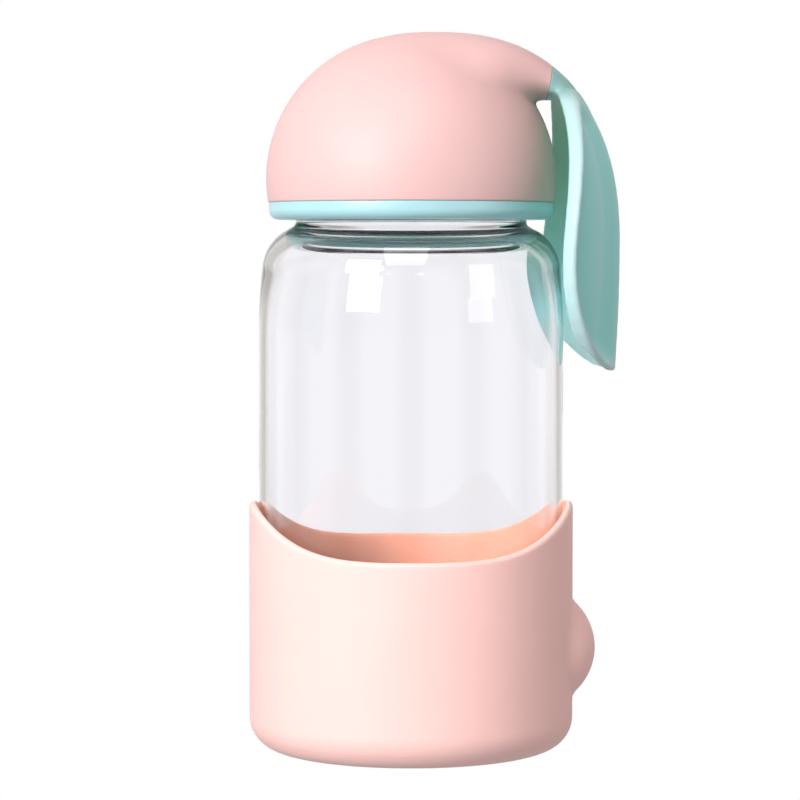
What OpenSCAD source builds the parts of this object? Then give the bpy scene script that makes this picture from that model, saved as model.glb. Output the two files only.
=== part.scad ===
// Rabbit drinking bottle: a glass bottle in a silicone sleeve with a tail, under a domed screw lid
// whose rear stub carries a pair of drooping ears.
// Frame: the origin is the centre of the sleeve's resting face, +Z is up, +Y is the rabbit's back.

/* [Sleeve] */
// Outer diameter of the sleeve
sleeve_d = 72; // [70:0.5:76]
// Wall of the sleeve
sleeve_wall = 1.9; // [1.5:0.1:2.2]
// Floor of the sleeve
sleeve_floor = 2.5; // [2:0.1:4]
// Radius of the sleeve's rounded foot
foot_r = 7.1; // [6:0.1:9]
// Height of the rim at its two sides, where it is lowest
rim_low = 44.7; // [38:0.1:48]
// Rise of the rim from its sides to its front and back
rim_rise = 10.3; // [4:0.1:14]

/* [Tail] */
// Radius of the ball that the tail is part of
tail_r = 15.3; // [13:0.1:16]
// Distance that the tail stands out from the sleeve
tail_out = 5.1; // [3:0.1:7]
// Height of the tail's centre
tail_z = 21.8; // [18:0.1:28]

/* [Bottle] */
// Outer diameter of the glass body
glass_d = 67.6; // [66.6:0.1:67.6]
// Wall of the glass
glass_wall = 1.4; // [1.2:0.1:2.4]
// Thickness of the glass floor
glass_floor = 4; // [3:0.1:6]
// Height at which the body starts to draw in
taper_z = 92; // [80:0.5:96]
// Radius of the shoulder's curve
shoulder_r = 10.5; // [9.5:0.1:10.6]
// Outer diameter of the neck
neck_d = 51.2; // [50:0.1:52]
// Height of the mouth's rim
mouth_z = 129.5; // [127:0.1:129.5]

/* [Thread] */
// Rise of the lid for one turn
thread_lead = 6; // [5.5:0.1:7]
// Turns of each thread ridge
thread_turns = 1.2; // [1:0.05:1.3]
// Height of a ridge over its wall
ridge_h = 1.2; // [0.8:0.1:1.3]
// Width of a ridge at its wall
ridge_w = 2.2; // [1.6:0.1:2.2]

/* [Lid] */
// Height of the collar's lower face
collar_z = 117.5; // [117:0.1:118]
// Height of the seam between the collar and the dome
seam_z = 121.4; // [121:0.1:122]
// Outer radius of the collar
collar_r = 31.5; // [31:0.1:31.8]
// Radius of the dome at its widest
dome_r = 32.1; // [32:0.1:33]
// Height of the dome's widest ring
dome_z = 126.5; // [126:0.1:127]
// Height of the dome's top over its widest ring
dome_h = 32.1; // [31.5:0.1:33]
// Wall of the dome
dome_wall = 2.2; // [2:0.1:2.4]

/* [Ears] */
// Largest distance of the ears' outer faces from the axis
ear_r = 46.3; // [46:0.1:48]
// Height at which the ears stand furthest out
ear_far_z = 111; // [109:0.5:113]
// Thickness of an ear, measured outwards from the axis
ear_t = 3.8; // [3:0.1:4.2]
// Thickness of an ear at its tip
tip_t = 1.5; // [1.2:0.1:2.5]
// Height of the ears' tips
ear_tip_z = 84.4; // [80:0.1:88]
// Radius of the peg that fixes the ears in the dome's stub
peg_r = 2.8; // [2:0.1:3]
// Length of the peg
peg_l = 5.6; // [4:0.1:5.6]

/* [Hidden] */
$fn = 96;
ARC = 12;                        // steps in a quarter of an outline's curve
OVER = 1;                        // how far a cutter passes the face that it cuts
SEAT = 0.05;                     // gap between pieces that only touch
RUN = 0.3;                       // gap between pieces that move past each other
SNAP = 0.4;                      // height of the bead that holds the dome on the inner cap
BEAD_Z = 3.2;                    // height of the bead's start over the seam
BEAD_TIP_Z = 3.8;
BEAD_END_Z = 4.6;
GROOVE_W = 1.6;                  // width of the ridge inside the dome that catches under the bead
SLICE = 0.1;                     // thickness of the slices that the stub is stretched over

sleeve_r = sleeve_d / 2;
glass_r = glass_d / 2;
neck_r = neck_d / 2;
shoulder_x = neck_r - 3.1;       // middle of the shoulder's curve
shoulder_z = 106.1;
inner_shoulder_z = 105.6;        // and of the curve inside it, where the glass is thicker at the top
inner_shoulder_r = 8.3;
SHOULDER_END = 62;               // degrees round the curve to the neck's fillet
NECK_FILLET = 1.2;
neck_z = 117.06;                 // where the neck is straight
glass_z = sleeve_floor + SEAT;   // underside of the bottle
base_r = foot_r - 0.6;           // rounded edge of the bottle's base
bore_r = glass_r - glass_wall;
throat_r = neck_r - glass_wall;

cap_bore = neck_r + ridge_h + RUN + 0.2;   // inside of the threaded skirt
skirt_r = 28.9;                  // outside of the threaded skirt
gasket_t = 1.5;
gasket_z = mouth_z + SEAT;
roof_z = gasket_z + gasket_t + SEAT;       // underside of the cap's roof
roof_t = 1.9;
lip_r = 22.4;                    // ring under the roof that holds the gasket from inside
lip_t = 1.4;
lip_h = 2.6;
thread_z = 119.4;                // start of the bottle's ridge, at its middle
THREAD_STEP = 10;                // degrees between the rings of a ridge

// The one long arc, seen from the side, that runs over the stub and down the ears' backs
arc_y = 5;
arc_h = 47.9;                    // height of its top over the height at which the ears stand furthest out
ARC_POWER = 2.4;
TUCK = 0.7;                      // how far the ears come in again towards their tips
TUCK_DROP = 27;                  // height that they do it over
TIP_DROP = 8.5;                  // height over which an ear thins towards its tip

// The flat face where the ears meet the stub: its middle and its tilt back and down
stub_y = 30.2;
stub_z = 148;
stub_tilt = 9.2;
stub_low = 144;                  // underside of the stub at its back
stub_half_w = 9.5;               // half its width there
STUB_SPREAD = 0.5;               // how fast the half width grows towards the front
STUB_MOST = 16;                  // the largest half width
// Where the stub dies out on the dome: distance behind the axis, half width, and drop below the long arc
STUB_FRONT = [[6, 13, 0], [0, 9, 1]];
peg_gap = 0.05;                  // gap round the peg in its socket

pink = [0.98, 0.80, 0.78];
mint = [0.62, 0.89, 0.87];
clear = [0.92, 0.94, 0.98, 0.35];
white = [0.95, 0.95, 0.94];

// Points of a quarter ellipse about [x, z], from angle a to angle b
function arc(x, z, rx, rz, a, b) =
    [for (i = [0 : ARC]) let (t = a + (b - a) * i / ARC) [x + rx * cos(t), z + rz * sin(t)]];

// Points of a cubic curve through four control points
function curve(p, n) =
    [for (i = [0 : n]) let (t = i / n, s = 1 - t)
        s * s * s * p[0] + 3 * s * s * t * p[1] + 3 * s * t * t * p[2] + t * t * t * p[3]];

// Height of the sleeve's rim at the distance y in front of or behind the axis
function rim_z(y) = rim_low + rim_rise * pow(y / sleeve_r, 4);

// Points from p towards q, on a curve that leaves p straight up and bends inwards
function taper(p, q) =
    [for (i = [0 : ARC - 1]) let (t = i / ARC) [p[0] + (q[0] - p[0]) * t * t, p[1] + (q[1] - p[1]) * t]];

// The list a from its end to its start
function reversed(a) = [for (i = [len(a) - 1 : -1 : 0]) a[i]];

// Radius of the ears' outer faces at the height z
function ear_out(z) = z > ear_far_z
    ? arc_y + (ear_r - arc_y) * pow(1 - pow((z - ear_far_z) / arc_h, ARC_POWER), 1 / ARC_POWER)
    : ear_r - TUCK * pow((ear_far_z - z) / TUCK_DROP, 2);

// Height of the long arc at the distance y behind the axis
function arc_top(y) =
    ear_far_z + arc_h * pow(1 - pow(abs(y - arc_y) / (ear_r - arc_y), ARC_POWER), 1 / ARC_POWER);

// Thickness of an ear at the height z, measured square to its outer face
function ear_thick(z) = tip_t + (ear_t - tip_t) * min(1, max(0, z - ear_tip_z) / TIP_DROP);

// And measured outwards from the axis, where the face leans
function ear_depth(z) = let (lean = (ear_out(z + 0.2) - ear_out(z - 0.2)) / 0.4)
    ear_thick(z) * sqrt(1 + lean * lean);

// Inside of the sleeve, open at the top
module sleeve_hollow() {
    r = sleeve_r - sleeve_wall;
    edge = foot_r - sleeve_wall;
    rotate_extrude()
        polygon(concat([[0, sleeve_floor]],
            arc(r - edge, sleeve_floor + edge, edge, edge, -90, 0),
            [[r, rim_low + rim_rise + OVER], [0, rim_low + rim_rise + OVER]]));
}

// What is cut away over the rim: the rim's curve, seen from the side, runs right across the sleeve
module sleeve_rim_cut() {
    half = sleeve_r + OVER;
    top = rim_z(half) + OVER;
    translate([-half, 0, 0])
        rotate([90, 0, 90])
            linear_extrude(2 * half)
                polygon(concat([[half, top], [-half, top]],
                    [for (i = [-ARC : ARC]) let (y = half * i / ARC) [y, rim_z(y)]]));
}

module silicone_sleeve() {
    color(pink)
        difference() {
            union() {
                rotate_extrude()
                    polygon(concat([[0, 0]],
                        arc(sleeve_r - foot_r, foot_r, foot_r, foot_r, -90, 0),
                        [[sleeve_r, rim_low + rim_rise], [0, rim_low + rim_rise]]));
                translate([0, sleeve_r + tail_out - tail_r, tail_z])
                    sphere(tail_r);
            }
            sleeve_hollow();
            sleeve_rim_cut();
        }
}

// One helical ridge that starts at angle 0 and height z. It stands on a wall of radius r:
// outwards when out is 1, inwards when out is -1.
module thread_ridge(r, z, out) {
    steps = round(thread_turns * 360 / THREAD_STEP);
    root = r - out * 0.5;
    rings = [for (i = [0 : steps])
        let (a = i * THREAD_STEP,
             lift = min(1, 0.35 + 0.3 * min(i, steps - i)),
             tip = r + out * ridge_h * lift,
             h = z + thread_lead * a / 360,
             half = ridge_w / 2)
        [for (p = [[root, -half], [tip, -half / 2], [tip, half / 2], [root, half]])
            [p[0] * cos(a), p[0] * sin(a), h + p[1]]]];
    last = 4 * steps;
    sides = [for (i = [0 : steps - 1], k = [0 : 3])
        let (n = (k + 1) % 4)
        [4 * i + k, 4 * i + n, 4 * i + 4 + n, 4 * i + 4 + k]];
    faces = concat([[3, 2, 1, 0]], sides, [[last, last + 1, last + 2, last + 3]]);
    polyhedron(
        [for (ring = rings, p = ring) p],
        out > 0 ? faces : [for (f = faces) [for (i = [len(f) - 1 : -1 : 0]) f[i]]]);
}

module glass_bottle() {
    outer = arc(shoulder_x, shoulder_z, shoulder_r, shoulder_r, 6, SHOULDER_END);
    inner = arc(shoulder_x, inner_shoulder_z, inner_shoulder_r, inner_shoulder_r, 9, 76);
    color(clear)
        union() {
            rotate_extrude()
                polygon(concat(
                    [[0, glass_z]],
                    arc(glass_r - base_r, glass_z + base_r, base_r, base_r, -90, 0),
                    taper([glass_r, taper_z], outer[0]),
                    outer,
                    arc(neck_r + NECK_FILLET, neck_z, NECK_FILLET, NECK_FILLET, 180 + SHOULDER_END, 185),
                    [[neck_r, neck_z + 0.1]],
                    arc(neck_r - 0.8, mouth_z - 0.8, 0.8, 0.8, 0, 90),
                    arc(throat_r + 0.6, mouth_z - 0.6, 0.6, 0.6, 90, 180),
                    [[throat_r, inner[ARC][1] + 2], [throat_r + 0.35, inner[ARC][1] + 0.4]],
                    reversed(concat(taper([bore_r, taper_z], inner[0]), inner)),
                    arc(bore_r - base_r, glass_z + glass_floor + base_r, base_r, base_r, 0, -90),
                    [[0, glass_z + glass_floor]]));
            thread_ridge(neck_r, thread_z, 1);
        }
}

// A plain ring from height z, h high
module ring(r_in, r_out, z, h) {
    translate([0, 0, z])
        difference() {
            cylinder(r = r_out, h = h);
            translate([0, 0, -OVER])
                cylinder(r = r_in, h = h + 2 * OVER);
        }
}

// The threaded cup, its visible collar, the bead that the dome snaps over, and the ring in its roof
module inner_cap() {
    edge = 2.2;
    color(mint)
        difference() {
            rotate_extrude()
                polygon(concat(
                    [[0, collar_z]],
                    arc(collar_r - edge, collar_z + edge, edge, edge, -90, 0),
                    [[collar_r, seam_z], [skirt_r, seam_z], [skirt_r, seam_z + BEAD_Z],
                     [skirt_r + SNAP, seam_z + BEAD_TIP_Z], [skirt_r, seam_z + BEAD_END_Z],
                     [skirt_r, roof_z + roof_t], [0, roof_z + roof_t]]));
            difference() {
                translate([0, 0, collar_z - OVER])
                    cylinder(r = cap_bore, h = roof_z - collar_z + OVER);
                thread_ridge(cap_bore, thread_z - ridge_w - RUN, -1);
                ring(lip_r - lip_t, lip_r, roof_z - lip_h, lip_h + OVER);
            }
        }
}

module cap_gasket() {
    color(white)
        ring(lip_r + 0.1, cap_bore - 0.2, gasket_z, gasket_t);
}

// A dome of revolution over the seam, inset by d from the dome's outside
module dome_solid(d) {
    r = dome_r - d;
    h = dome_h - d;
    low = asin((seam_z - dome_z) / h);
    rotate_extrude()
        polygon(concat(
            [[0, seam_z]],
            [for (i = [0 : 2 * ARC]) let (t = low + (90 - low) * i / (2 * ARC))
                [r * cos(t), dome_z + h * sin(t)]]));
}

// Half the stub's width at the distance y behind the axis
function stub_w(y) = min(STUB_MOST, stub_half_w + STUB_SPREAD * (stub_y - y));

// An oval slice across the stub, drop under the long arc, at the distance y behind the axis, leaning by tilt
module stub_slice(y, half_w, drop, tilt) {
    top = arc_top(y) - drop;
    half_h = (top - stub_low) / 2;
    translate([0, y, (top + stub_low) / 2])
        rotate([90 - tilt, 0, 0])
            linear_extrude(SLICE)
                scale([half_w, half_h])
                    circle(1, $fn = 32);
}

module dome_cover() {
    color(pink)
        difference() {
            union() {
                dome_solid(0);
                hull() {
                    stub_slice(stub_y, stub_half_w, 0, stub_tilt);
                    for (y = [24, 18, 12])
                        stub_slice(y, stub_w(y), 0, 0);
                    for (front = STUB_FRONT)
                        stub_slice(front[0], front[1], front[2], 0);
                }
            }
            difference() {
                dome_solid(dome_wall);
                ring(skirt_r + 0.1, dome_r - OVER, seam_z + 1, GROOVE_W);
            }
            ear_peg(peg_gap, peg_gap * 4);
        }
}

// The ears' peg in the stub, widened by gap and lengthened by extra
module ear_peg(gap, extra) {
    translate([0, stub_y, stub_z])
        rotate([90 - stub_tilt, 0, 0])
            translate([0, 0, -OVER])
                cylinder(r = peg_r + gap, h = peg_l + OVER + extra);
}

// One ear: a leaf outline cut from a shell that hangs round the bottle's back
module ear_leaf() {
    low = ear_tip_z - OVER;
    high = stub_z;
    steps = 2 * ARC;
    heights = [for (i = [0 : steps]) low + (high - low) * i / steps];
    outer_edge = curve([[4, 146.5], [30.7, 146], [45.8, 90.6], [11, ear_tip_z]], steps);
    inner_edge = curve([[9.5, ear_tip_z], [7, 88], [5, 120], [-1, 141]], steps);
    intersection() {
        rotate_extrude()
            polygon(concat(
                [for (z = heights) [ear_out(z), z]],
                [for (z = reversed(heights)) [ear_out(z) - ear_depth(z), z]]));
        rotate([90, 0, 180])
            linear_extrude(ear_r + OVER)
                mirror([1, 0])
                    polygon(concat(outer_edge, inner_edge));
    }
}

// The yoke's back end: two small balls at its lower corners and one between them under the long arc
YOKE_SIDE = 8;
YOKE_BALL = 1.6;
YOKE_Y = 34.2;
YOKE_Z = 145.6;
YOKE_MID_Y = 36;
YOKE_MID_Z = 146.4;

module ear_pair() {
    color(mint)
        union() {
            ear_leaf();
            mirror([1, 0, 0])
                ear_leaf();
            hull() {
                stub_slice(stub_y + SEAT + SLICE, stub_half_w, 0, stub_tilt);
                for (side = [-1, 1])
                    translate([side * YOKE_SIDE, YOKE_Y, YOKE_Z])
                        sphere(YOKE_BALL, $fn = 24);
                translate([0, YOKE_MID_Y, YOKE_MID_Z])
                    sphere(YOKE_BALL, $fn = 24);
            }
            ear_peg(0, 0);
        }
}

silicone_sleeve();
glass_bottle();
inner_cap();
cap_gasket();
dome_cover();
ear_pair();
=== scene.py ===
"""Looks of the rabbit drinking bottle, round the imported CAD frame. Shapes are worked out in millimetres."""
import math

import bmesh
import bpy
import numpy as np
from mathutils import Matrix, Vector


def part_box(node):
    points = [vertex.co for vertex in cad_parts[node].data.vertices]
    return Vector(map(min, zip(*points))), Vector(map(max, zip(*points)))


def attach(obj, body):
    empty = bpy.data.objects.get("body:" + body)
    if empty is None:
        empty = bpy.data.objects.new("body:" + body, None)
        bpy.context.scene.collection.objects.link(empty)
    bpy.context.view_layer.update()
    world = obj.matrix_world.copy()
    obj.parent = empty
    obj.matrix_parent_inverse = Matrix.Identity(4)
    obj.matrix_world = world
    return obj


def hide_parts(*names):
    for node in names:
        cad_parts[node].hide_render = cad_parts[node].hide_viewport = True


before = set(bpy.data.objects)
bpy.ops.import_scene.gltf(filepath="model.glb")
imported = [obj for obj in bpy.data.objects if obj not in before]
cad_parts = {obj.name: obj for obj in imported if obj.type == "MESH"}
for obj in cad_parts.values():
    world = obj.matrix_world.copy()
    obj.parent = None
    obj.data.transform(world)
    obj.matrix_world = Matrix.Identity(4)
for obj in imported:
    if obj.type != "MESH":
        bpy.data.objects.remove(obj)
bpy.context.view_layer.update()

MM = 0.001
TAU = 2 * math.pi


def box_mm(node):
    """Lowest and highest corners of a CAD node at rest, in millimetres."""
    low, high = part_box(node)
    return np.array(low) / MM, np.array(high) / MM


# ---------------------------------------------------------------- driving sizes, in millimetres
sleeve_high = box_mm("silicone_sleeve")[1]
glass_low, glass_high = box_mm("glass_bottle")
cap_low, cap_high = box_mm("inner_cap")
gasket_low, gasket_high = box_mm("cap_gasket")
dome_low, dome_high = box_mm("dome_cover")

SLEEVE_R = sleeve_high[0]
SLEEVE_WALL = 1.9
SLEEVE_FLOOR = 2.5
FOOT_R = 7.1
RIM_LOW = 44.7
RIM_RISE = sleeve_high[2] - RIM_LOW
TAIL_R = 13.4
TAIL_Y = sleeve_high[1] - TAIL_R
TAIL_Z = 22.3

GLASS_R = glass_high[0]
GLASS_WALL = 1.4
GLASS_FLOOR = 4.0
TAPER_Z = 92.0  # where the body starts to draw in towards the shoulder
SHOULDER_MID = (22.5, 106.1)  # middle and radius of the shoulder's arc, outside
SHOULDER_R = 10.5
BORE_MID = (22.5, 105.6)  # and inside, where the glass is thicker at the top
BORE_ARC_R = 8.3
SHOULDER_END = 62  # degrees round the arc to the neck's fillet
NECK_FILLET = 1.2
NECK_Z = 117.06  # where the neck is straight
NECK_R = 25.6
MOUTH_Z = glass_high[2]

THREAD_LEAD = 6.0
THREAD_TURNS = 1.2
RIDGE_H = 1.2
RIDGE_W = 2.2
THREAD_Z = 119.4
THREAD_ROOM = 0.3

COLLAR_R = cap_high[0]
SEAM_Z = dome_low[2]
SKIRT_R = 28.9
CAP_BORE = gasket_high[0] + 0.2
ROOF_Z = gasket_high[2] + 0.05
LIP_R = 22.4
LIP_T = 1.4
LIP_H = 2.6

DOME_R = dome_high[0]
DOME_Z = 126.5
DOME_H = 31.9
DOME_WALL = 2.2

EAR_T = 3.8
EAR_TIP_Z = 84.4

# The flat face where the ears meet the stub, and the peg behind it
STUB_TILT = math.radians(9.2)
STUB_FILLET = 6.0
STUB_MID = np.array([0, 30.2, 148.0])
STUB_BACK = np.array([0, math.cos(STUB_TILT), -math.sin(STUB_TILT)])
STUB_UP = np.array([0, math.sin(STUB_TILT), math.cos(STUB_TILT)])
STUB_LOW_Z = 141.6  # over this the stub stands clear of the dome's back
PEG_R = 2.8
PEG_L = 5.6
PEG_GAP = 0.05

# The one long arc, seen from the side, that runs over the stub and down the ears' backs
ARC_Y, ARC_Z = 5.0, 111.0
ARC_A, ARC_B = 41.3, 47.9
ARC_N = 2.4

# The ears' outer and inner edges, seen from behind: four control points of a cubic curve each
EAR_OUTER = [(4, 146.5), (30.4, 147), (44.5, 85), (11, EAR_TIP_Z)]
EAR_INNER = [(9.5, EAR_TIP_Z), (7, 88), (5, 120), (-1, 141)]

AROUND = 224  # vertices round a turned piece


# ---------------------------------------------------------------- mesh helpers
def finish_piece(name, mesh, material, body, node):
    """Puts a mesh in the scene as the piece that stands for a CAD node."""
    mesh.shade_smooth()
    piece = bpy.data.objects.new(name, mesh)
    bpy.context.collection.objects.link(piece)
    piece.data.materials.append(material)
    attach(piece, body)
    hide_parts(node)
    return piece


def new_mesh(name, verts, faces):
    """A mesh from points in millimetres, with its faces turned outwards."""
    mesh = bpy.data.meshes.new(name)
    mesh.from_pydata((np.asarray(verts) * MM).tolist(), [], [tuple(f) for f in faces])
    bm = bmesh.new()
    bm.from_mesh(mesh)
    bmesh.ops.recalc_face_normals(bm, faces=bm.faces)
    bm.to_mesh(mesh)
    bm.free()
    return mesh


def spun(name, profile, shift=None, closed=False):
    """A turned mesh. profile is [(r, z), ...]; it starts and ends on the axis, or closed joins its ends.
    shift(angle, r, z) may return new r and z arrays for every point, such as for a thread."""
    profile = np.array(profile, float)
    inner = profile if closed else profile[1:-1]
    angle = np.arange(AROUND) * TAU / AROUND
    a, r = np.meshgrid(angle, inner[:, 0])
    z = np.meshgrid(angle, inner[:, 1])[1]
    if shift:
        r, z = shift(a, r, z)
    verts = np.stack([r * np.sin(a), r * np.cos(a), z], axis=-1).reshape(-1, 3).tolist()
    rows = len(inner)
    faces = []
    for i in range(rows if closed else rows - 1):
        for j in range(AROUND):
            k = (j + 1) % AROUND
            n = (i + 1) % rows
            faces.append((i * AROUND + j, i * AROUND + k, n * AROUND + k, n * AROUND + j))
    if not closed:
        for row, (_, pole_z) in ((0, profile[0]), (rows - 1, profile[-1])):
            verts.append([0, 0, pole_z])
            pole = len(verts) - 1
            for j in range(AROUND):
                faces.append((pole, row * AROUND + j, row * AROUND + (j + 1) % AROUND))
    return new_mesh(name, verts, faces)


def arc(x, z, rx, rz, a, b, n=10):
    """Points of an ellipse's arc about (x, z) between two angles in degrees."""
    return [(x + rx * math.cos(t), z + rz * math.sin(t)) for t in np.radians(np.linspace(a, b, n + 1))]


def line(p, q, n):
    """n points from p towards q, without q."""
    return [(p[0] + (q[0] - p[0]) * i / n, p[1] + (q[1] - p[1]) * i / n) for i in range(n)]


def taper(p, q, n):
    """Points from p to q on a curve that leaves p straight up and bends inwards."""
    return [(p[0] + (q[0] - p[0]) * (i / n) ** 2, p[1] + (q[1] - p[1]) * i / n) for i in range(n + 1)]


def smooth_step(low, high, x):
    t = np.clip((x - low) / (high - low), 0, 1)
    return t * t * (3 - 2 * t)


def smooth_min(a, b, k):
    h = np.clip(0.5 + 0.5 * (b - a) / k, 0, 1)
    return b * (1 - h) + a * h - k * h * (1 - h)


def smooth_max(a, b, k):
    return -smooth_min(-a, -b, k)


def skinned(name, field, low, high, step):
    """The surface where field(x, y, z) is 0, as an even mesh of quads: one vertex for each grid cell that
    the surface crosses, pulled on to the surface along the field's slope."""
    axes = [np.arange(lo, hi + step, step) for lo, hi in zip(low, high)]
    grid = np.meshgrid(*axes, indexing="ij")
    value = field(*grid)
    inside = value < 0
    shape = np.array(value.shape) - 1
    total = np.zeros((*shape, 3))
    count = np.zeros(shape)
    crossings = []
    for axis in range(3):
        span = [slice(None)] * 3
        span[axis] = slice(0, -1)
        ahead = [slice(None)] * 3
        ahead[axis] = slice(1, None)
        a, b = value[tuple(span)], value[tuple(ahead)]
        cross = inside[tuple(span)] != inside[tuple(ahead)]
        share = np.where(cross, a / np.where(cross, a - b, 1), 0)
        point = np.stack([g[tuple(span)] for g in grid], axis=-1)
        point[..., axis] += share * step
        others = [i for i in range(3) if i != axis]
        for near in ((0, 0), (0, 1), (1, 0), (1, 1)):
            part = [slice(None)] * 3
            for other, side in zip(others, near):
                part[other] = slice(side, shape[other] + side)
            part = tuple(part)
            total += np.where(cross[part][..., None], point[part], 0)
            count += cross[part]
        crossings.append((axis, others, cross))
    active = count > 0
    index = np.full(shape, -1)
    index[active] = np.arange(active.sum())
    verts = total[active] / count[active][:, None]
    faces = []
    for axis, others, cross in crossings:
        cells = np.argwhere(cross)
        inner = np.all([(cells[:, o] > 0) & (cells[:, o] < shape[o]) for o in others], axis=0)
        cells = cells[inner]
        quad = []
        for near in ((1, 1), (0, 1), (0, 0), (1, 0)):
            cell = cells.copy()
            for other, side in zip(others, near):
                cell[:, other] -= side
            quad.append(index[tuple(cell.T)])
        faces.append(np.stack(quad, axis=-1))
    verts = settle(verts, field, step)
    return new_mesh(name, verts, np.concatenate(faces).tolist())


def settle(verts, field, step, rounds=4):
    """Moves points on to the surface where field is 0."""
    small = step * 0.05
    for _ in range(rounds):
        here = field(*verts.T)
        slope = []
        for axis in range(3):
            ahead, behind = verts.copy(), verts.copy()
            ahead[:, axis] += small
            behind[:, axis] -= small
            slope.append((field(*ahead.T) - field(*behind.T)) / (2 * small))
        slope = np.stack(slope, axis=-1)
        move = slope * (here / np.maximum((slope**2).sum(axis=1), 0.05))[:, None]
        size = np.linalg.norm(move, axis=1, keepdims=True)
        verts = verts - move * np.minimum(1, step * 0.5 / np.maximum(size, 1e-9))
    return verts


def slice_off(bm, point, normal, above=-1):
    """Cuts away what lies ahead of a plane, among faces over a height, and returns the edges left on it.
    Known fault: the sets have no fixed order, so the order of the cut's edges changes from run to run."""
    faces = [f for f in bm.faces if f.calc_center_median().z > above * MM]
    edges = {e for f in faces for e in f.edges}
    verts = {v for f in faces for v in f.verts}
    result = bmesh.ops.bisect_plane(
        bm,
        geom=[*verts, *edges, *faces],
        dist=1e-7,
        plane_co=Vector(point) * MM,
        plane_no=Vector(normal),
        clear_outer=True,
    )
    return [e for e in result["geom_cut"] if isinstance(e, bmesh.types.BMEdge)]


def push_loop(bm, edges, move):
    """Extends a loop of edges: move(point in mm) gives each new point. Returns the new loop's edges."""
    made = bmesh.ops.extrude_edge_only(bm, edges=edges)["geom"]
    for v in made:
        if isinstance(v, bmesh.types.BMVert):
            v.co = Vector(move(np.array(v.co) / MM)) * MM
    return [e for e in made if isinstance(e, bmesh.types.BMEdge) and e.is_boundary]


def round_to_plane(bm, edges, mid, normal, r, steps=3):
    """Carries a loop that was cut r short of a plane up to it with a small rounded edge."""
    mid, normal = np.array(mid, float), np.array(normal, float)
    for i in range(1, steps + 1):
        t = math.radians(90) * i / steps
        before = math.radians(90) * (i - 1) / steps
        rise = r * (math.sin(t) - math.sin(before))
        inward = r * (math.cos(before) - math.cos(t))

        def move(p):
            away = p - mid
            away -= normal * (away @ normal)
            return p + normal * rise - away / np.linalg.norm(away) * inward

        edges = push_loop(bm, edges, move)
    return edges


def ring_and_peg(bm, edges, mid, along, up, r, length, chamfer):
    """Closes a flat loop down to a round peg, or a socket, that runs along a direction from mid."""
    side = np.cross(along, up)
    count = 48
    rings = []
    for reach, radius in ((0, r), (length - chamfer, r), (length, r - chamfer)):
        ring = []
        for i in range(count):
            t = TAU * i / count
            p = mid + along * reach + (side * math.cos(t) + up * math.sin(t)) * radius
            ring.append(bm.verts.new(Vector(p) * MM))
        rings.append(ring)
    loops = [
        [bm.edges.new((ring[i], ring[(i + 1) % count])) for i in range(count)] for ring in rings
    ]
    bmesh.ops.bridge_loops(bm, edges=edges + loops[0])
    for near, far in zip(loops, loops[1:]):
        bmesh.ops.bridge_loops(bm, edges=near + far)
    bm.faces.new(rings[-1])


def to_mesh(bm, mesh):
    """Writes a bmesh back with its normals outwards."""
    bmesh.ops.recalc_face_normals(bm, faces=bm.faces)
    bm.to_mesh(mesh)
    bm.free()


# ---------------------------------------------------------------- material helpers
def nodes_of(name):
    """A new material's node tree and its shader."""
    material = bpy.data.materials.new(name)
    material.use_nodes = True
    tree = material.node_tree
    return material, tree, tree.nodes["Principled BSDF"]


def add(tree, kind, **settings):
    """A node with some of its inputs or properties set by name."""
    node = tree.nodes.new(kind)
    for key, value in settings.items():
        if hasattr(node, key):
            setattr(node, key, value)
        else:
            node.inputs[key.replace("_", " ")].default_value = value
    return node


def noise(tree, where, scale, detail=3.0, roughness=0.5):
    node = add(tree, "ShaderNodeTexNoise", Scale=scale, Detail=detail, Roughness=roughness)
    tree.links.new(where, node.inputs["Vector"])
    return node.outputs["Fac"]


def spread(tree, source, low, high):
    """A value from 0 to 1 mapped to the range low to high."""
    node = add(tree, "ShaderNodeMapRange", To_Min=low, To_Max=high)
    tree.links.new(source, node.inputs["Value"])
    return node.outputs["Result"]


def two_tone(tree, source, dark, light):
    """A colour between two, chosen by a value from 0 to 1."""
    node = add(tree, "ShaderNodeValToRGB")
    node.color_ramp.elements[0].position = 0.3
    node.color_ramp.elements[0].color = (*dark, 1)
    node.color_ramp.elements[1].position = 0.7
    node.color_ramp.elements[1].color = (*light, 1)
    tree.links.new(source, node.inputs["Fac"])
    return node.outputs["Color"]


def bump(tree, height, distance, strength, under=None):
    node = add(tree, "ShaderNodeBump", Distance=distance, Strength=strength)
    tree.links.new(height, node.inputs["Height"])
    if under:
        tree.links.new(under, node.inputs["Normal"])
    return node.outputs["Normal"]


def mixed(tree, share, a, b):
    """Colour a where share is 0 and b where it is 1; each is a socket or three numbers."""
    node = add(tree, "ShaderNodeMix", data_type="RGBA")
    tree.links.new(share, node.inputs["Factor"])
    for socket, colour in zip(node.inputs[6:8], (a, b)):
        if isinstance(colour, bpy.types.NodeSocket):
            tree.links.new(colour, socket)
        else:
            socket.default_value = (*colour, 1)
    return node.outputs[2]


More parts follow.
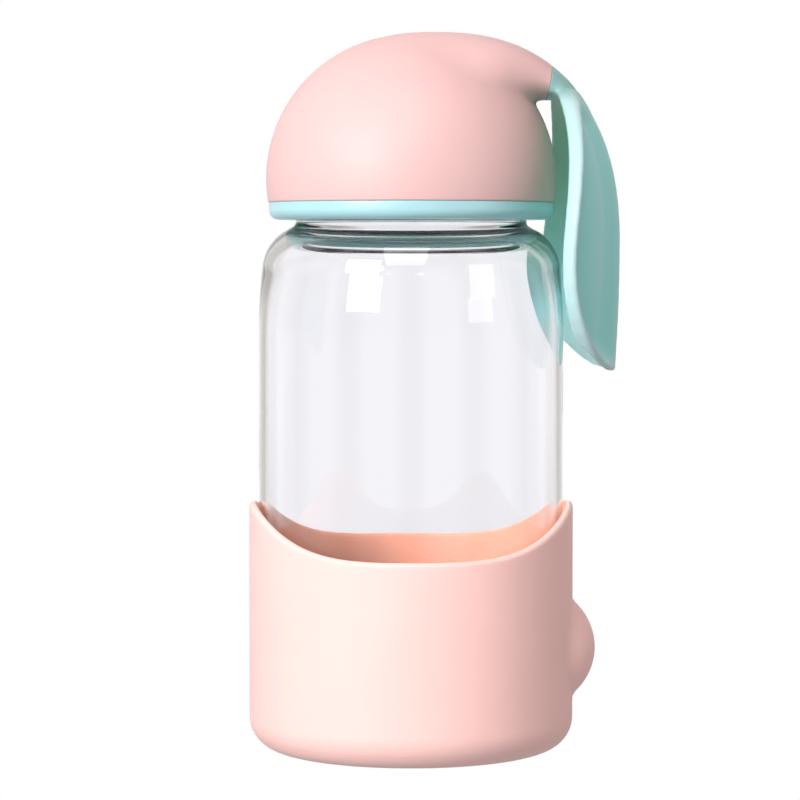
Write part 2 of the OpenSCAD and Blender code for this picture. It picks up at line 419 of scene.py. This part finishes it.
def moulded(name, colour, rough, grain=0.00004, sheen=0.0, soft=0.0, spec=0.5, inside=None, painted_light_tints=()):
    """Moulded silicone or plastic: a faint cloudiness in the colour, a fine grain, and uneven polish.
    inside is a distance from the axis, a height, and the colour painted on the faces nearer and higher than
    that: painted shade inside the sleeve, painted light inside the cap. tints are a painted highlight and
    painted shade, the colours where the mesh's tint is red, green and blue."""
    material, tree, shader = nodes_of(name)
    where = add(tree, "ShaderNodeTexCoord").outputs["Object"]
    cloud = noise(tree, where, 55, 4.0, 0.55)
    fine = noise(tree, where, 2600, 2.0, 0.6)
    dark = tuple(c * 0.965 for c in colour)
    tone = two_tone(tree, cloud, dark, colour)
    # Painted shading: faces nearer the axis and higher get the inside colour, painted shade in the sleeve and
    # painted light in the cap
    if inside:
        radius, low, painted_shading = inside
        flat = add(tree, "ShaderNodeVectorMath", operation="MULTIPLY")
        flat.inputs[1].default_value = (1, 1, 0)
        tree.links.new(where, flat.inputs[0])
        length = add(tree, "ShaderNodeVectorMath", operation="LENGTH")
        tree.links.new(flat.outputs["Vector"], length.inputs[0])
        edge = add(tree, "ShaderNodeMapRange", From_Min=radius - 0.0003, From_Max=radius + 0.0003)
        tree.links.new(length.outputs["Value"], edge.inputs["Value"])
        height = add(tree, "ShaderNodeSeparateXYZ")
        tree.links.new(where, height.inputs[0])
        under = math_node(tree, "LESS_THAN", height.outputs["Z"], low)
        tone = mixed(tree, math_node(tree, "MAXIMUM", edge.outputs["Result"], under), painted_shading, tone)
    # Painted highlight and painted shade, laid over the colour by the mesh's tint
    if painted_light_tints:
        split = add(tree, "ShaderNodeSeparateColor")
        painted = add(tree, "ShaderNodeAttribute", attribute_name="tint")
        tree.links.new(painted.outputs["Color"], split.inputs[0])
        for channel, painted_light_colour in zip(split.outputs, painted_light_tints):
            tone = mixed(tree, channel, tone, painted_light_colour)
    tree.links.new(tone, shader.inputs["Base Color"])
    tree.links.new(spread(tree, fine, rough - 0.05, rough + 0.05), shader.inputs["Roughness"])
    wave = bump(tree, noise(tree, where, 130, 2.0), 0.00025, 0.12)
    tree.links.new(bump(tree, fine, grain, 0.5, wave), shader.inputs["Normal"])
    shader.inputs["Specular IOR Level"].default_value = spec
    if sheen:
        shader.inputs["Sheen Weight"].default_value = sheen
        shader.inputs["Sheen Roughness"].default_value = 0.5
    if soft:
        shader.inputs["Subsurface Weight"].default_value = soft
        shader.inputs["Subsurface Radius"].default_value = (1.0, 0.55, 0.45)
        shader.inputs["Subsurface Scale"].default_value = 0.0025
    return material


def clear_glass():
    """Clear blown glass with a faint cool tint, slightly uneven, that lets the lamps' light through."""
    material, tree, shader = nodes_of("clear_glass")
    where = add(tree, "ShaderNodeTexCoord").outputs["Object"]
    shader.inputs["Base Color"].default_value = (0.965, 0.96, 0.985, 1)
    shader.inputs["Roughness"].default_value = 0.0
    shader.inputs["IOR"].default_value = 1.5
    shader.inputs["Transmission Weight"].default_value = 1.0
    tree.links.new(bump(tree, noise(tree, where, 45, 1.0), 0.0006, 0.10), shader.inputs["Normal"])
    path = add(tree, "ShaderNodeLightPath")
    through = add(tree, "ShaderNodeBsdfTransparent")
    through.inputs["Color"].default_value = (0.93, 0.93, 0.94, 1)
    mix = add(tree, "ShaderNodeMixShader")
    tree.links.new(path.outputs["Is Shadow Ray"], mix.inputs["Fac"])
    tree.links.new(shader.outputs["BSDF"], mix.inputs[1])
    tree.links.new(through.outputs["BSDF"], mix.inputs[2])
    tree.links.new(mix.outputs["Shader"], tree.nodes["Material Output"].inputs["Surface"])
    return material


# ---------------------------------------------------------------- the pieces
def rim_z(y):
    """Height of the sleeve's saddle-shaped rim at the distance y from the middle."""
    return RIM_LOW + RIM_RISE * np.abs(y / SLEEVE_R) ** 4


def make_sleeve(material):
    """The silicone sleeve: saddle rim with a rounded lip, rounded foot with a shallow recess, and the tail.
    The wall's heights are shares of the rim's height, from 0 at the foot to 1 at the lip."""
    lip = SLEEVE_WALL / 2
    r_in = SLEEVE_R - SLEEVE_WALL
    edge = FOOT_R - SLEEVE_WALL
    foot = [(0, 0.6), (10, 0.6), (20, 0.6), (24, 0.6), (24.6, 0.5), (25, 0.15), (25.4, 0)]
    foot += arc(SLEEVE_R - FOOT_R, FOOT_R, FOOT_R, FOOT_R, -90, 0, 14)
    wall_rows = 52
    outside = [(SLEEVE_R, FOOT_R + (RIM_LOW - lip - FOOT_R) * i / wall_rows) for i in range(1, wall_rows)]
    lips = arc(SLEEVE_R - lip, RIM_LOW - lip, lip, lip, 0, 180, 10)
    inside = [(r_in, RIM_LOW - lip - (RIM_LOW - lip - SLEEVE_FLOOR - edge) * i / 16) for i in range(1, 16)]
    floor = arc(r_in - edge, SLEEVE_FLOOR + edge, edge, edge, 0, -90, 10)
    floor += [(10, SLEEVE_FLOOR), (0, SLEEVE_FLOOR)]

    def shape(a, r, z):
        rim = rim_z(SLEEVE_R * np.cos(a))
        share = np.clip((z - FOOT_R) / (RIM_LOW - FOOT_R), 0, 1)
        out = z + (rim - RIM_LOW) * share
        swing = TAIL_Y * np.abs(np.sin(a))
        reach = TAIL_R**2 - (out - TAIL_Z) ** 2 - swing**2
        ball = TAIL_Y * np.cos(a) + np.sqrt(np.maximum(reach, 0))
        ball = np.where((reach > 0) & (np.cos(a) > 0), ball, 0)
        raised = smooth_max(r, ball, 1.2)
        return np.where(r > SLEEVE_R - 0.01, np.maximum(raised, r), r), out

    mesh = spun("silicone_sleeve", foot + outside + lips + inside + floor, shape)
    return finish_piece("sleeve_skin", mesh, material, "sleeve", "silicone_sleeve")


def thread(a, z, start):
    """Height, from 0 to 1, of one helical ridge at the angle a and height z."""
    turn = np.mod(math.pi / 2 - a, TAU) / TAU
    height = np.zeros_like(z)
    for k in range(2):
        along = turn + k
        ends = smooth_step(0, 0.05, along) * (1 - smooth_step(THREAD_TURNS - 0.05, THREAD_TURNS, along))
        off = np.abs(z - start - THREAD_LEAD * along)
        height = np.maximum(height, ends * (1 - smooth_step(RIDGE_W * 0.2, RIDGE_W * 0.5, off)))
    return height


def make_bottle(material):
    """The glass, with its true inner and outer walls, a bead under the neck and the thread."""
    throat = NECK_R - GLASS_WALL
    bore = GLASS_R - GLASS_WALL
    base = glass_low[2]
    edge = FOOT_R - 0.6
    profile = [(0, base + 1.2), (8, base + 1.1), (16, base + 0.7), (22, base + 0.2)]
    profile += arc(GLASS_R - edge, base + edge, edge, edge, -90, 0, 12)
    profile += line((GLASS_R, base + edge + 4), (GLASS_R, TAPER_Z), 14)
    shoulder = arc(*SHOULDER_MID, SHOULDER_R, SHOULDER_R, 6, SHOULDER_END, 22)
    profile += taper((GLASS_R, TAPER_Z), shoulder[0], 12)[:-1] + shoulder
    profile += arc(NECK_R + NECK_FILLET, NECK_Z, NECK_FILLET, NECK_FILLET, 180 + SHOULDER_END, 185, 6)
    profile += line((NECK_R, NECK_Z + 0.1), (NECK_R, MOUTH_Z - 0.8), 44)
    profile += arc(NECK_R - 0.8, MOUTH_Z - 0.8, 0.8, 0.8, 0, 90, 5)
    profile += arc(throat + 0.6, MOUTH_Z - 0.6, 0.6, 0.6, 90, 180, 5)
    hollow = arc(*BORE_MID, BORE_ARC_R, BORE_ARC_R, 76, 9, 22)
    profile += line((throat, MOUTH_Z - 2), (throat, hollow[0][1] + 2.0), 8)
    profile += [(throat + 0.1, hollow[0][1] + 1.1), (throat + 0.35, hollow[0][1] + 0.4)]
    profile += hollow + taper((bore, TAPER_Z), hollow[-1], 12)[-2::-1]
    profile += line((bore, TAPER_Z - 4), (bore, base + GLASS_FLOOR + edge), 14)
    profile += arc(bore - edge, base + GLASS_FLOOR + edge, edge, edge, 0, -90, 12)
    profile += [(14, base + GLASS_FLOOR + 0.5), (6, base + GLASS_FLOOR + 0.9), (0, base + GLASS_FLOOR + 1)]

    def screw(a, r, z):
        neck = (np.abs(r - NECK_R) < 0.01) & (z > NECK_Z)
        return np.where(neck, r + RIDGE_H * thread(a, z, THREAD_Z), r), z

    mesh = spun("glass_bottle", profile, screw)
    return finish_piece("bottle_glass", mesh, material, "bottle", "glass_bottle")


def make_inner_cap(material):
    """The threaded cup: rounded collar, skirt with the snap bead, roof, and the ring that holds the seal."""
    r = COLLAR_R
    low = cap_low[2]
    top = cap_high[2]
    edge = 2.2
    lip_in = LIP_R - LIP_T
    profile = [(0, ROOF_Z), (lip_in - 2, ROOF_Z)]
    profile += arc(lip_in - 0.5, ROOF_Z - 0.5, 0.5, 0.5, 90, 0, 4)
    profile += arc(lip_in + 0.4, ROOF_Z - LIP_H + 0.4, 0.4, 0.4, 180, 270, 4)
    profile += arc(LIP_R - 0.4, ROOF_Z - LIP_H + 0.4, 0.4, 0.4, 270, 360, 4)
    profile += [(LIP_R, ROOF_Z - 0.05), (LIP_R + 0.1, ROOF_Z)]
    profile += [(CAP_BORE - 0.1, ROOF_Z), (CAP_BORE, ROOF_Z - 0.1)]
    profile += line((CAP_BORE, ROOF_Z - 0.8), (CAP_BORE, low + 0.8), 44)
    profile += arc(CAP_BORE + 0.5, low + 0.5, 0.5, 0.5, 180, 270, 5)
    profile += arc(r - edge, low + edge, edge, edge, -90, 0, 14)
    profile += arc(r - 0.25, SEAM_Z - 0.25, 0.25, 0.25, 0, 90, 4)
    profile += [(SKIRT_R + 0.2, SEAM_Z), (SKIRT_R, SEAM_Z + 0.2), (SKIRT_R, SEAM_Z + 3.2)]
    profile += arc(SKIRT_R, SEAM_Z + 3.9, 0.4, 0.5, -70, 70, 6)
    profile += [(SKIRT_R, SEAM_Z + 4.8)]
    profile += arc(SKIRT_R - 0.6, top - 0.6, 0.6, 0.6, 0, 90, 4)
    profile += [(20, top), (0, top)]

    def screw(a, r, z):
        wall = np.abs(r - CAP_BORE) < 0.01
        start = THREAD_Z - RIDGE_W - THREAD_ROOM
        return np.where(wall & (z < ROOF_Z - 0.7), r - RIDGE_H * thread(a, z, start), r), z

    mesh = spun("inner_cap", profile, screw)
    return finish_piece("cap_cup", mesh, material, "lid", "inner_cap")


def make_gasket(material):
    """The seal: a flat ring with rounded edges and two thin raised lips under it."""
    low, high = gasket_low[2], gasket_high[2]
    r_in, r_out = LIP_R + 0.1, gasket_high[0]
    edge = 0.35
    profile = arc(r_in + edge, high - edge, edge, edge, 180, 90, 4)
    profile += arc(r_out - edge, high - edge, edge, edge, 90, 0, 4)
    profile += arc(r_out - edge, low + edge + 0.1, edge, edge, 0, -90, 4)
    for middle in (25.4, 23.9):
        profile += [(middle + 0.5, low + 0.1), (middle + 0.2, low)]
        profile += [(middle - 0.2, low), (middle - 0.5, low + 0.1)]
    profile += arc(r_in + edge, low + edge + 0.1, edge, edge, -90, -180, 4)
    mesh = spun("cap_gasket", profile, closed=True)
    return finish_piece("seal_ring", mesh, material, "seal", "cap_gasket")


def dome_field(x, y, z):
    """About how far a point is outside the dome, in millimetres."""
    dx, dz = np.hypot(x, y), z - DOME_Z
    reach = np.hypot(dx, dz) + 1e-6
    size = np.hypot(dx / DOME_R, dz / DOME_H) + 1e-6
    return reach * (1 - 1 / size)


def arc_top(y):
    """Height of the long arc over the stub at a distance y behind the axis."""
    share = np.clip(np.abs(y - ARC_Y) / ARC_A, 0, 0.999)
    return ARC_Z + ARC_B * (1 - share**ARC_N) ** (1 / ARC_N)


def stub_field(x, y, z, sink=0.0):
    """The stub and the ears' yoke beyond it: oval slices between the long arc, less sink, and a flat
    underside."""
    top = arc_top(y) - sink
    bottom = 144.0 - 0.05 * np.maximum(30 - y, 0) ** 2
    half_h = np.maximum((top - bottom) / 2, 0.6)
    half_w = smooth_min(smooth_max(9.5 + 0.5 * (30 - y), 6.0, 1.0), 16.0, 2.0)
    up = z - (top + bottom) / 2
    size = ((np.abs(x) / half_w) ** 2.5 + (np.abs(up) / half_h) ** 2.5) ** (1 / 2.5) + 1e-6
    reach = np.hypot(x, up)
    return reach * (1 - 1 / size)


def lid_field(x, y, z):
    """The dome and its stub in one skin, with a soft fillet between them. The stub is sunk by what the
    fillet adds, so that the long arc stays the outline."""
    gap = np.clip(dome_field(0 * y, y, arc_top(y)), 0, STUB_FILLET)
    sink = (math.sqrt(STUB_FILLET) - np.sqrt(gap)) ** 2 + 0.03 * np.maximum(1 - y, 0) ** 2
    fillet = 1.5 + (STUB_FILLET - 1.5) * smooth_step(143, 149, z)
    return smooth_min(dome_field(x, y, z), stub_field(x, y, z, sink), fillet)


def make_dome(material):
    """The dome: outer skin with the stub, hollow inside, with a rounded lower edge and the peg's socket."""
    span = DOME_R + 2
    mesh = skinned("dome_cover", lid_field, (-span, -span, SEAM_Z - 3), (span, 36, dome_high[2] + 2), 0.9)
    bm = bmesh.new()
    bm.from_mesh(mesh)
    edge = 0.3
    down = np.array([0, 0, -1.0])
    seam = STUB_MID - STUB_BACK * (edge / 2)
    loop = slice_off(bm, seam, STUB_BACK, above=STUB_LOW_Z)
    loop = round_to_plane(bm, loop, STUB_MID, STUB_BACK, edge / 2)
    ring_and_peg(bm, loop, STUB_MID, -STUB_BACK, STUB_UP, PEG_R + PEG_GAP, PEG_L + 0.2, 0.4)
    rim = slice_off(bm, (0, 0, SEAM_Z + edge), down)
    rim = round_to_plane(bm, rim, (0, 0, SEAM_Z), down, edge)
    close_dome(bm, rim)
    to_mesh(bm, mesh)
    return finish_piece("dome_skin", mesh, material, "lid", "dome_cover")


def close_dome(bm, rim):
    """The dome's inside: the seam's flat ring, the bead that snaps over the cap, and the hollow.
    Known fault: on most runs bridge_loops joins the rim with a twist, which leaves stray faces across
    the dome's open mouth. See slice_off."""
    count = 160
    r, h = DOME_R - DOME_WALL, DOME_H - DOME_WALL
    low = math.asin((SEAM_Z + 3.4 - DOME_Z) / h)
    inner = math.sqrt(1 - ((SEAM_Z + 1 - DOME_Z) / h) ** 2) * r
    profile = [(inner, SEAM_Z), (inner, SEAM_Z + 0.8)]
    profile += [(SKIRT_R + gap, SEAM_Z + up) for gap, up in ((0.15, 1.2), (0.1, 1.8), (0.15, 2.4))]
    profile += [(r * math.cos(t), DOME_Z + h * math.sin(t)) for t in np.linspace(low, math.radians(88), 40)]
    loops, rings = [], []
    for radius, z in profile:
        ring = []
        for i in range(count):
            t = TAU * i / count
            ring.append(bm.verts.new(Vector((radius * math.sin(t), radius * math.cos(t), z)) * MM))
        rings.append(ring)
        loops.append([bm.edges.new((ring[i], ring[(i + 1) % count])) for i in range(count)])
    bmesh.ops.bridge_loops(bm, edges=rim + loops[0])
    for near, far in zip(rings, rings[1:]):
        for i in range(count):
            k = (i + 1) % count
            bm.faces.new((near[i], near[k], far[k], far[i]))
    bm.faces.new(rings[-1])


def curve(points, n):
    """Points of a cubic curve through four control points."""
    p = np.array(points, float)
    t = np.linspace(0, 1, n + 1)[:, None]
    s = 1 - t
    return s**3 * p[0] + 3 * s**2 * t * p[1] + 3 * s * t**2 * p[2] + t**3 * p[3]


def ear_out(z):
    """Radius of the ears' outer faces at the height z."""
    share = np.clip((z - ARC_Z) / ARC_B, 0, 0.999)
    above = ARC_Y + ARC_A * (1 - share**ARC_N) ** (1 / ARC_N)
    below = 0.7 * (np.clip(ARC_Z - z, 0, None) / 27) ** 2
    return above - below


def ear_outline():
    """One ear's outline, unrolled: distance round the bottle from the middle of its back, and height."""
    outer = curve(EAR_OUTER, 22)
    inner = curve(EAR_INNER, 18)
    unrolled = []
    for x, z in (outer.T, inner.T):
        r = ear_out(z) - EAR_T / 2
        unrolled.append(np.stack([r * np.arcsin(np.clip(x / r, -1, 1)), z], axis=-1))
    return unrolled


OUTER_EDGE, INNER_EDGE = ear_outline()


def path_field(path, s, z):
    """Distance from a path of points on the unrolled ear, and whether a level ray from there crosses the
    path an odd number of times."""
    best = np.full(s.shape, 1e9)
    odd = np.zeros(s.shape, bool)
    for (ax, az), (bx, bz) in zip(path, path[1:]):
        ex, ez = bx - ax, bz - az
        t = np.clip(((s - ax) * ex + (z - az) * ez) / max(ex * ex + ez * ez, 1e-9), 0, 1)
        best = np.minimum(best, (s - ax - t * ex) ** 2 + (z - az - t * ez) ** 2)
        spans = (az > z) != (bz > z)
        odd ^= spans & (s < ax + (z - az) * ex / (ez if ez else 1e-9))
    return np.sqrt(best), odd


def ear_edges(x, y, z):
    """Distances to the ears' outer and inner edges, and the distance outside their outline."""
    around = (ear_out(z) - EAR_T / 2) * np.arctan2(np.abs(x), np.maximum(y, 0.1))
    outer, crossed_outer = path_field(OUTER_EDGE, around, z)
    inner, crossed_inner = path_field([OUTER_EDGE[-1], *INNER_EDGE, OUTER_EDGE[0]], around, z)
    return outer, inner, np.minimum(outer, inner) * np.where(crossed_outer ^ crossed_inner, -1, 1)


def leaf_field(x, y, z):
    """Both ears: a rounded leaf bent round the bottle's back, its outer face scooped inside a thick rim."""
    slope = (ear_out(z + 0.2) - ear_out(z - 0.2)) / 0.4
    depth = (ear_out(z) - np.hypot(x, y)) / np.sqrt(1 + slope**2)
    outer, inner, edge = ear_edges(x, y, z)
    thick = EAR_T * (0.4 + 0.6 * smooth_step(EAR_TIP_Z, EAR_TIP_Z + 8.5, z))
    scoop = 2.4 * smooth_step(0.5, 3.4, outer) * smooth_step(0, 11, inner) * smooth_step(145.5, 138, z)
    scoop = np.minimum(scoop, thick - 1.2)
    half = (thick - scoop) / 2
    rounding = np.minimum(1.2, half)
    across = np.abs(depth - scoop - half) - half + rounding
    along = edge + rounding
    corner = np.hypot(np.maximum(across, 0), np.maximum(along, 0))
    return corner + np.minimum(np.maximum(across, along), 0) - rounding


def yoke_field(x, y, z):
    """The yoke and both ears in one skin, with fillets that die out towards their common outer face."""
    depth = ear_out(z) - np.hypot(x, y)
    yoke = smooth_max(stub_field(x, y, z), y - 36.5, 2.0)
    return smooth_min(yoke, leaf_field(x, y, z), 0.2 + 2.3 * smooth_step(0.4, 2.5, depth))


def paint_ear_light_and_shade(mesh):
    """Paints light and shade on the ears in the mesh's tint: red for a painted highlight on the thick outer
    edge, green for painted shade on the faces that look at the axis, and blue for painted shade on the yoke
    and on the lower ends of those faces."""
    spots = np.array([v.co for v in mesh.vertices]) / MM
    normals = np.array([v.normal for v in mesh.vertices])
    x, y, z = spots.T
    inward = -(normals[:, 0] * x + normals[:, 1] * y) / np.hypot(x, y)
    inner = smooth_step(0.55, 0.9, inward)
    edge = ear_edges(x, y, z)[2]
    # pale: a painted highlight along the thick outer edge, kept off the faces that look at the axis
    pale = smooth_step(-2.4, -1.0, edge) * (1 - inner)
    # grey: painted shade on the yoke, and on the lower ends of the faces that look at the axis
    grey = np.maximum(smooth_step(142.5, 146, z), inner * smooth_step(101, 92, z))
    # green: painted shade on the faces that look at the axis, stronger higher up
    tint = np.stack([pale, inner * smooth_step(100, 130, z), grey, 0 * x + 1], axis=-1)
    mesh.attributes.new("tint", "FLOAT_COLOR", "POINT").data.foreach_set("color", tint.ravel())


def make_ears(material):
    """The ears' moulding, cut flat at the stub, with the peg that goes into it."""
    mesh = skinned("ear_pair", yoke_field, (-36, 26, EAR_TIP_Z - 2), (36, 49, 154), 0.62)
    bm = bmesh.new()
    bm.from_mesh(mesh)
    edge = 0.15
    face = STUB_MID + STUB_BACK * 0.05
    loop = slice_off(bm, face + STUB_BACK * edge, -STUB_BACK)
    loop = round_to_plane(bm, loop, face, -STUB_BACK, edge)
    ring_and_peg(bm, loop, face, -STUB_BACK, STUB_UP, PEG_R, PEG_L, 0.4)
    to_mesh(bm, mesh)
    paint_ear_light_and_shade(mesh)
    return finish_piece("ears_skin", mesh, material, "lid", "ear_pair")


# ---------------------------------------------------------------- camera, light and floor
CAMERA_AZIMUTH = math.radians(88.0)
CAMERA_REACH = 0.680
CAMERA_HEIGHT = 0.1122
CAMERA_LENS = 137.75
TO_CAMERA = Vector((math.sin(CAMERA_AZIMUTH), -math.cos(CAMERA_AZIMUTH), 0))
TO_RIGHT = Vector((math.cos(CAMERA_AZIMUTH), math.sin(CAMERA_AZIMUTH), 0))
AIM_HEIGHT = 0.0775
AIM_ASIDE = -0.00245

ROOM_GAP = (0.52, 0.49, 0.43)
ROOM_GLOSS = 0.35
ROOM_FILL = (0.43, 0.345, 0.315)
FLOOR_FILL = 0.48
KEY_TINT = (1.0, 0.985, 0.97)
TOP_TINT = (0.94, 1.0, 1.0)

PINK_SILICONE = (0.95, 0.60, 0.57)
PINK_PLASTIC = (0.72, 0.465, 0.46)
MINT_PLASTIC = (0.37, 0.635, 0.69)
MINT_SILICONE = (0.255, 0.69, 0.67)
CLOUDY_SILICONE = (0.86, 0.86, 0.84)

# Distance from the axis, height, and the colour painted on the faces nearer and higher than those: deeper
# painted shade inside the sleeve, lighter painted light inside the cap
SLEEVE_PAINTED_SHADE = ((SLEEVE_R - SLEEVE_WALL * 0.7) * MM, 3.2 * MM, (0.70, 0.30, 0.19))
# Painted light: the cap's inside is lighter than its outside, standing in for light inside the closed cup
CAP_PAINTED_LIGHT = ((COLLAR_R - 1.5) * MM, 0.0, (0.50, 0.86, 0.82))
# Painted light on the ears: a pale painted highlight on their outer edge, painted shade that makes their
# inner faces greener, and painted shade that makes the yoke greyer
EAR_PAINTED_LIGHT = ((0.43, 0.63, 0.65), (0.23, 0.76, 0.54), (0.25, 0.45, 0.44))


def make_camera():
    """The camera stands level with the shoulder and looks slightly down."""
    data = bpy.data.cameras.new("camera")
    data.lens = CAMERA_LENS
    data.sensor_width = 36
    data.clip_start = 0.01
    camera = bpy.data.objects.new("camera", data)
    bpy.context.collection.objects.link(camera)
    camera.location = TO_CAMERA * CAMERA_REACH + Vector((0, 0, CAMERA_HEIGHT))
    aim = TO_RIGHT * AIM_ASIDE + Vector((0, 0, AIM_HEIGHT))
    camera.rotation_euler = (aim - camera.location).to_track_quat("-Z", "Y").to_euler()
    bpy.context.scene.camera = camera


def soft_box(name, aside, up, reach, width, height, radiance, colour=(1, 1, 1)):
    """A rectangular lamp, aside and up from the camera's direction in degrees, facing the bottle."""
    data = bpy.data.lights.new(name, "AREA")
    data.shape = "RECTANGLE"
    data.size, data.size_y = width, height
    data.energy = radiance * math.pi * width * height
    data.color = colour
    lamp = bpy.data.objects.new(name, data)
    bpy.context.collection.objects.link(lamp)
    aside, up = math.radians(aside), math.radians(up)
    flat = TO_CAMERA * math.cos(aside) + TO_RIGHT * math.sin(aside)
    middle = Vector((0, 0, 0.1))
    lamp.location = middle + (flat * math.cos(up) + Vector((0, 0, math.sin(up)))) * reach
    lamp.rotation_euler = (middle - lamp.location).to_track_quat("-Z", "Y").to_euler()
    return lamp


def math_node(tree, operation, *values):
    """A maths node; each value is a number or a socket."""
    node = add(tree, "ShaderNodeMath", operation=operation)
    for socket, value in zip(node.inputs, values):
        if isinstance(value, bpy.types.NodeSocket):
            tree.links.new(value, socket)
        else:
            socket.default_value = value
    return node.outputs[0]


def panels(tree, coordinates):
    """1 towards the seven white panels that stand round the room, and 0 in the gaps between them."""
    where = add(tree, "ShaderNodeSeparateXYZ")
    tree.links.new(add(tree, "ShaderNodeTexCoord").outputs[coordinates], where.inputs[0])
    turn = math_node(tree, "ARCTAN2", where.outputs["X"], where.outputs["Y"])
    turn = math_node(tree, "ADD", turn, CAMERA_AZIMUTH)
    wave = math_node(tree, "COSINE", math_node(tree, "MULTIPLY", turn, 7))
    node = add(tree, "ShaderNodeMapRange", interpolation_type="SMOOTHSTEP", From_Min=-0.95, From_Max=0.2)
    tree.links.new(wave, node.inputs["Value"])
    return node.outputs["Result"]


def backdrop(tree, coordinates):
    """1 towards the lit backdrop behind the bottle, and 0 on the dim side in front of it."""
    away = add(tree, "ShaderNodeVectorMath", operation="DOT_PRODUCT")
    tree.links.new(add(tree, "ShaderNodeTexCoord").outputs[coordinates], away.inputs[0])
    away.inputs[1].default_value = -TO_CAMERA
    node = add(tree, "ShaderNodeMapRange", interpolation_type="SMOOTHSTEP", From_Min=-0.1, From_Max=0.7)
    tree.links.new(away.outputs["Value"], node.inputs["Value"])
    return node.outputs["Result"]


def make_world():
    """A white room, seen directly. Through glass it is white panels with warm grey gaps, which draw the
    glass's edges. Mirrored, it is white behind the bottle and dim in front, and it lights dull surfaces
    with ROOM_FILL."""
    world = bpy.data.worlds.new("white_room")
    bpy.context.scene.world = world
    world.use_nodes = True
    tree = world.node_tree
    bright = tree.nodes["Background"]
    bright.inputs["Color"].default_value = (1, 1, 1, 1)
    bright.inputs["Strength"].default_value = 1.0
    path = add(tree, "ShaderNodeLightPath")
    shade = mixed(tree, panels(tree, "Generated"), ROOM_GAP, (1, 1, 1))
    mirrored = mixed(tree, backdrop(tree, "Generated"), (ROOM_GLOSS,) * 3, (1, 1, 1))
    room = bright.outputs["Background"]
    for ray, colour in (
        ("Is Glossy Ray", mirrored),
        ("Is Diffuse Ray", None),
        ("Is Transmission Ray", shade),
    ):
        dim = add(tree, "ShaderNodeBackground", Strength=1.0)
        if colour:
            tree.links.new(colour, dim.inputs["Color"])
        else:
            dim.inputs["Color"].default_value = (*ROOM_FILL, 1)
        mix = add(tree, "ShaderNodeMixShader")
        tree.links.new(path.outputs[ray], mix.inputs["Fac"])
        tree.links.new(room, mix.inputs[1])
        tree.links.new(dim.outputs["Background"], mix.inputs[2])
        room = mix.outputs["Shader"]
    tree.links.new(room, tree.nodes["World Output"].inputs["Surface"])


def make_floor():
    """A large pale floor, as bright as the room, with the room's panels on it where it is seen through
    glass. It is dimmer where it lights dull surfaces, or is mirrored on the side towards the camera."""
    bm = bmesh.new()
    bmesh.ops.create_grid(bm, x_segments=8, y_segments=8, size=6)
    mesh = bpy.data.meshes.new("floor")
    bm.to_mesh(mesh)
    bm.free()
    floor = bpy.data.objects.new("floor", mesh)
    bpy.context.collection.objects.link(floor)
    material, tree, shader = nodes_of("pale_floor")
    path = add(tree, "ShaderNodeLightPath")
    seen = add(tree, "ShaderNodeEmission", Strength=1.0)
    shade = mixed(tree, panels(tree, "Object"), ROOM_GAP, (1, 1, 1))
    tree.links.new(mixed(tree, path.outputs["Is Transmission Ray"], (1, 1, 1), shade), seen.inputs["Color"])
    cast = add(tree, "ShaderNodeEmission", Strength=FLOOR_FILL)
    mix = add(tree, "ShaderNodeMixShader")
    front = math_node(tree, "SUBTRACT", 1.0, backdrop(tree, "Object"))
    dull = math_node(tree, "MULTIPLY", path.outputs["Is Glossy Ray"], front)
    dull = math_node(tree, "MAXIMUM", path.outputs["Is Diffuse Ray"], dull)
    dull = math_node(tree, "SUBTRACT", dull, path.outputs["Is Transmission Ray"])
    tree.links.new(dull, mix.inputs["Fac"])
    tree.links.new(seen.outputs["Emission"], mix.inputs[1])
    tree.links.new(cast.outputs["Emission"], mix.inputs[2])
    tree.links.new(mix.outputs["Shader"], tree.nodes["Material Output"].inputs["Surface"])
    tree.nodes.remove(shader)
    mesh.materials.append(material)


make_camera()
make_world()
make_floor()
soft_box("key_left", aside=-37.5, up=19, reach=1.1, width=0.50, height=0.33, radiance=23.0, colour=KEY_TINT)
soft_box("top_front", aside=-5, up=45, reach=1.1, width=0.56, height=0.64, radiance=4.0, colour=TOP_TINT)
strip = soft_box("strip_right", aside=55, up=10.8, reach=1.1, width=0.40, height=0.21, radiance=2.8)
strip.visible_diffuse = False
bpy.context.scene.view_settings.view_transform = "Standard"

make_sleeve(
    moulded("sleeve_silicone", PINK_SILICONE, 0.55, sheen=0.08, soft=0.10, spec=0.35, inside=SLEEVE_PAINTED_SHADE)
)
make_bottle(clear_glass())
make_inner_cap(moulded("cap_plastic", MINT_PLASTIC, 0.32, grain=0.00001, soft=0.15, inside=CAP_PAINTED_LIGHT))
make_gasket(moulded("gasket_silicone", CLOUDY_SILICONE, 0.5))
make_dome(moulded("dome_plastic", PINK_PLASTIC, 0.50, soft=0.10, spec=0.4))
make_ears(moulded("ear_silicone", MINT_SILICONE, 0.44, sheen=0.05, soft=0.08, spec=0.5, painted_light_tints=EAR_PAINTED_LIGHT))
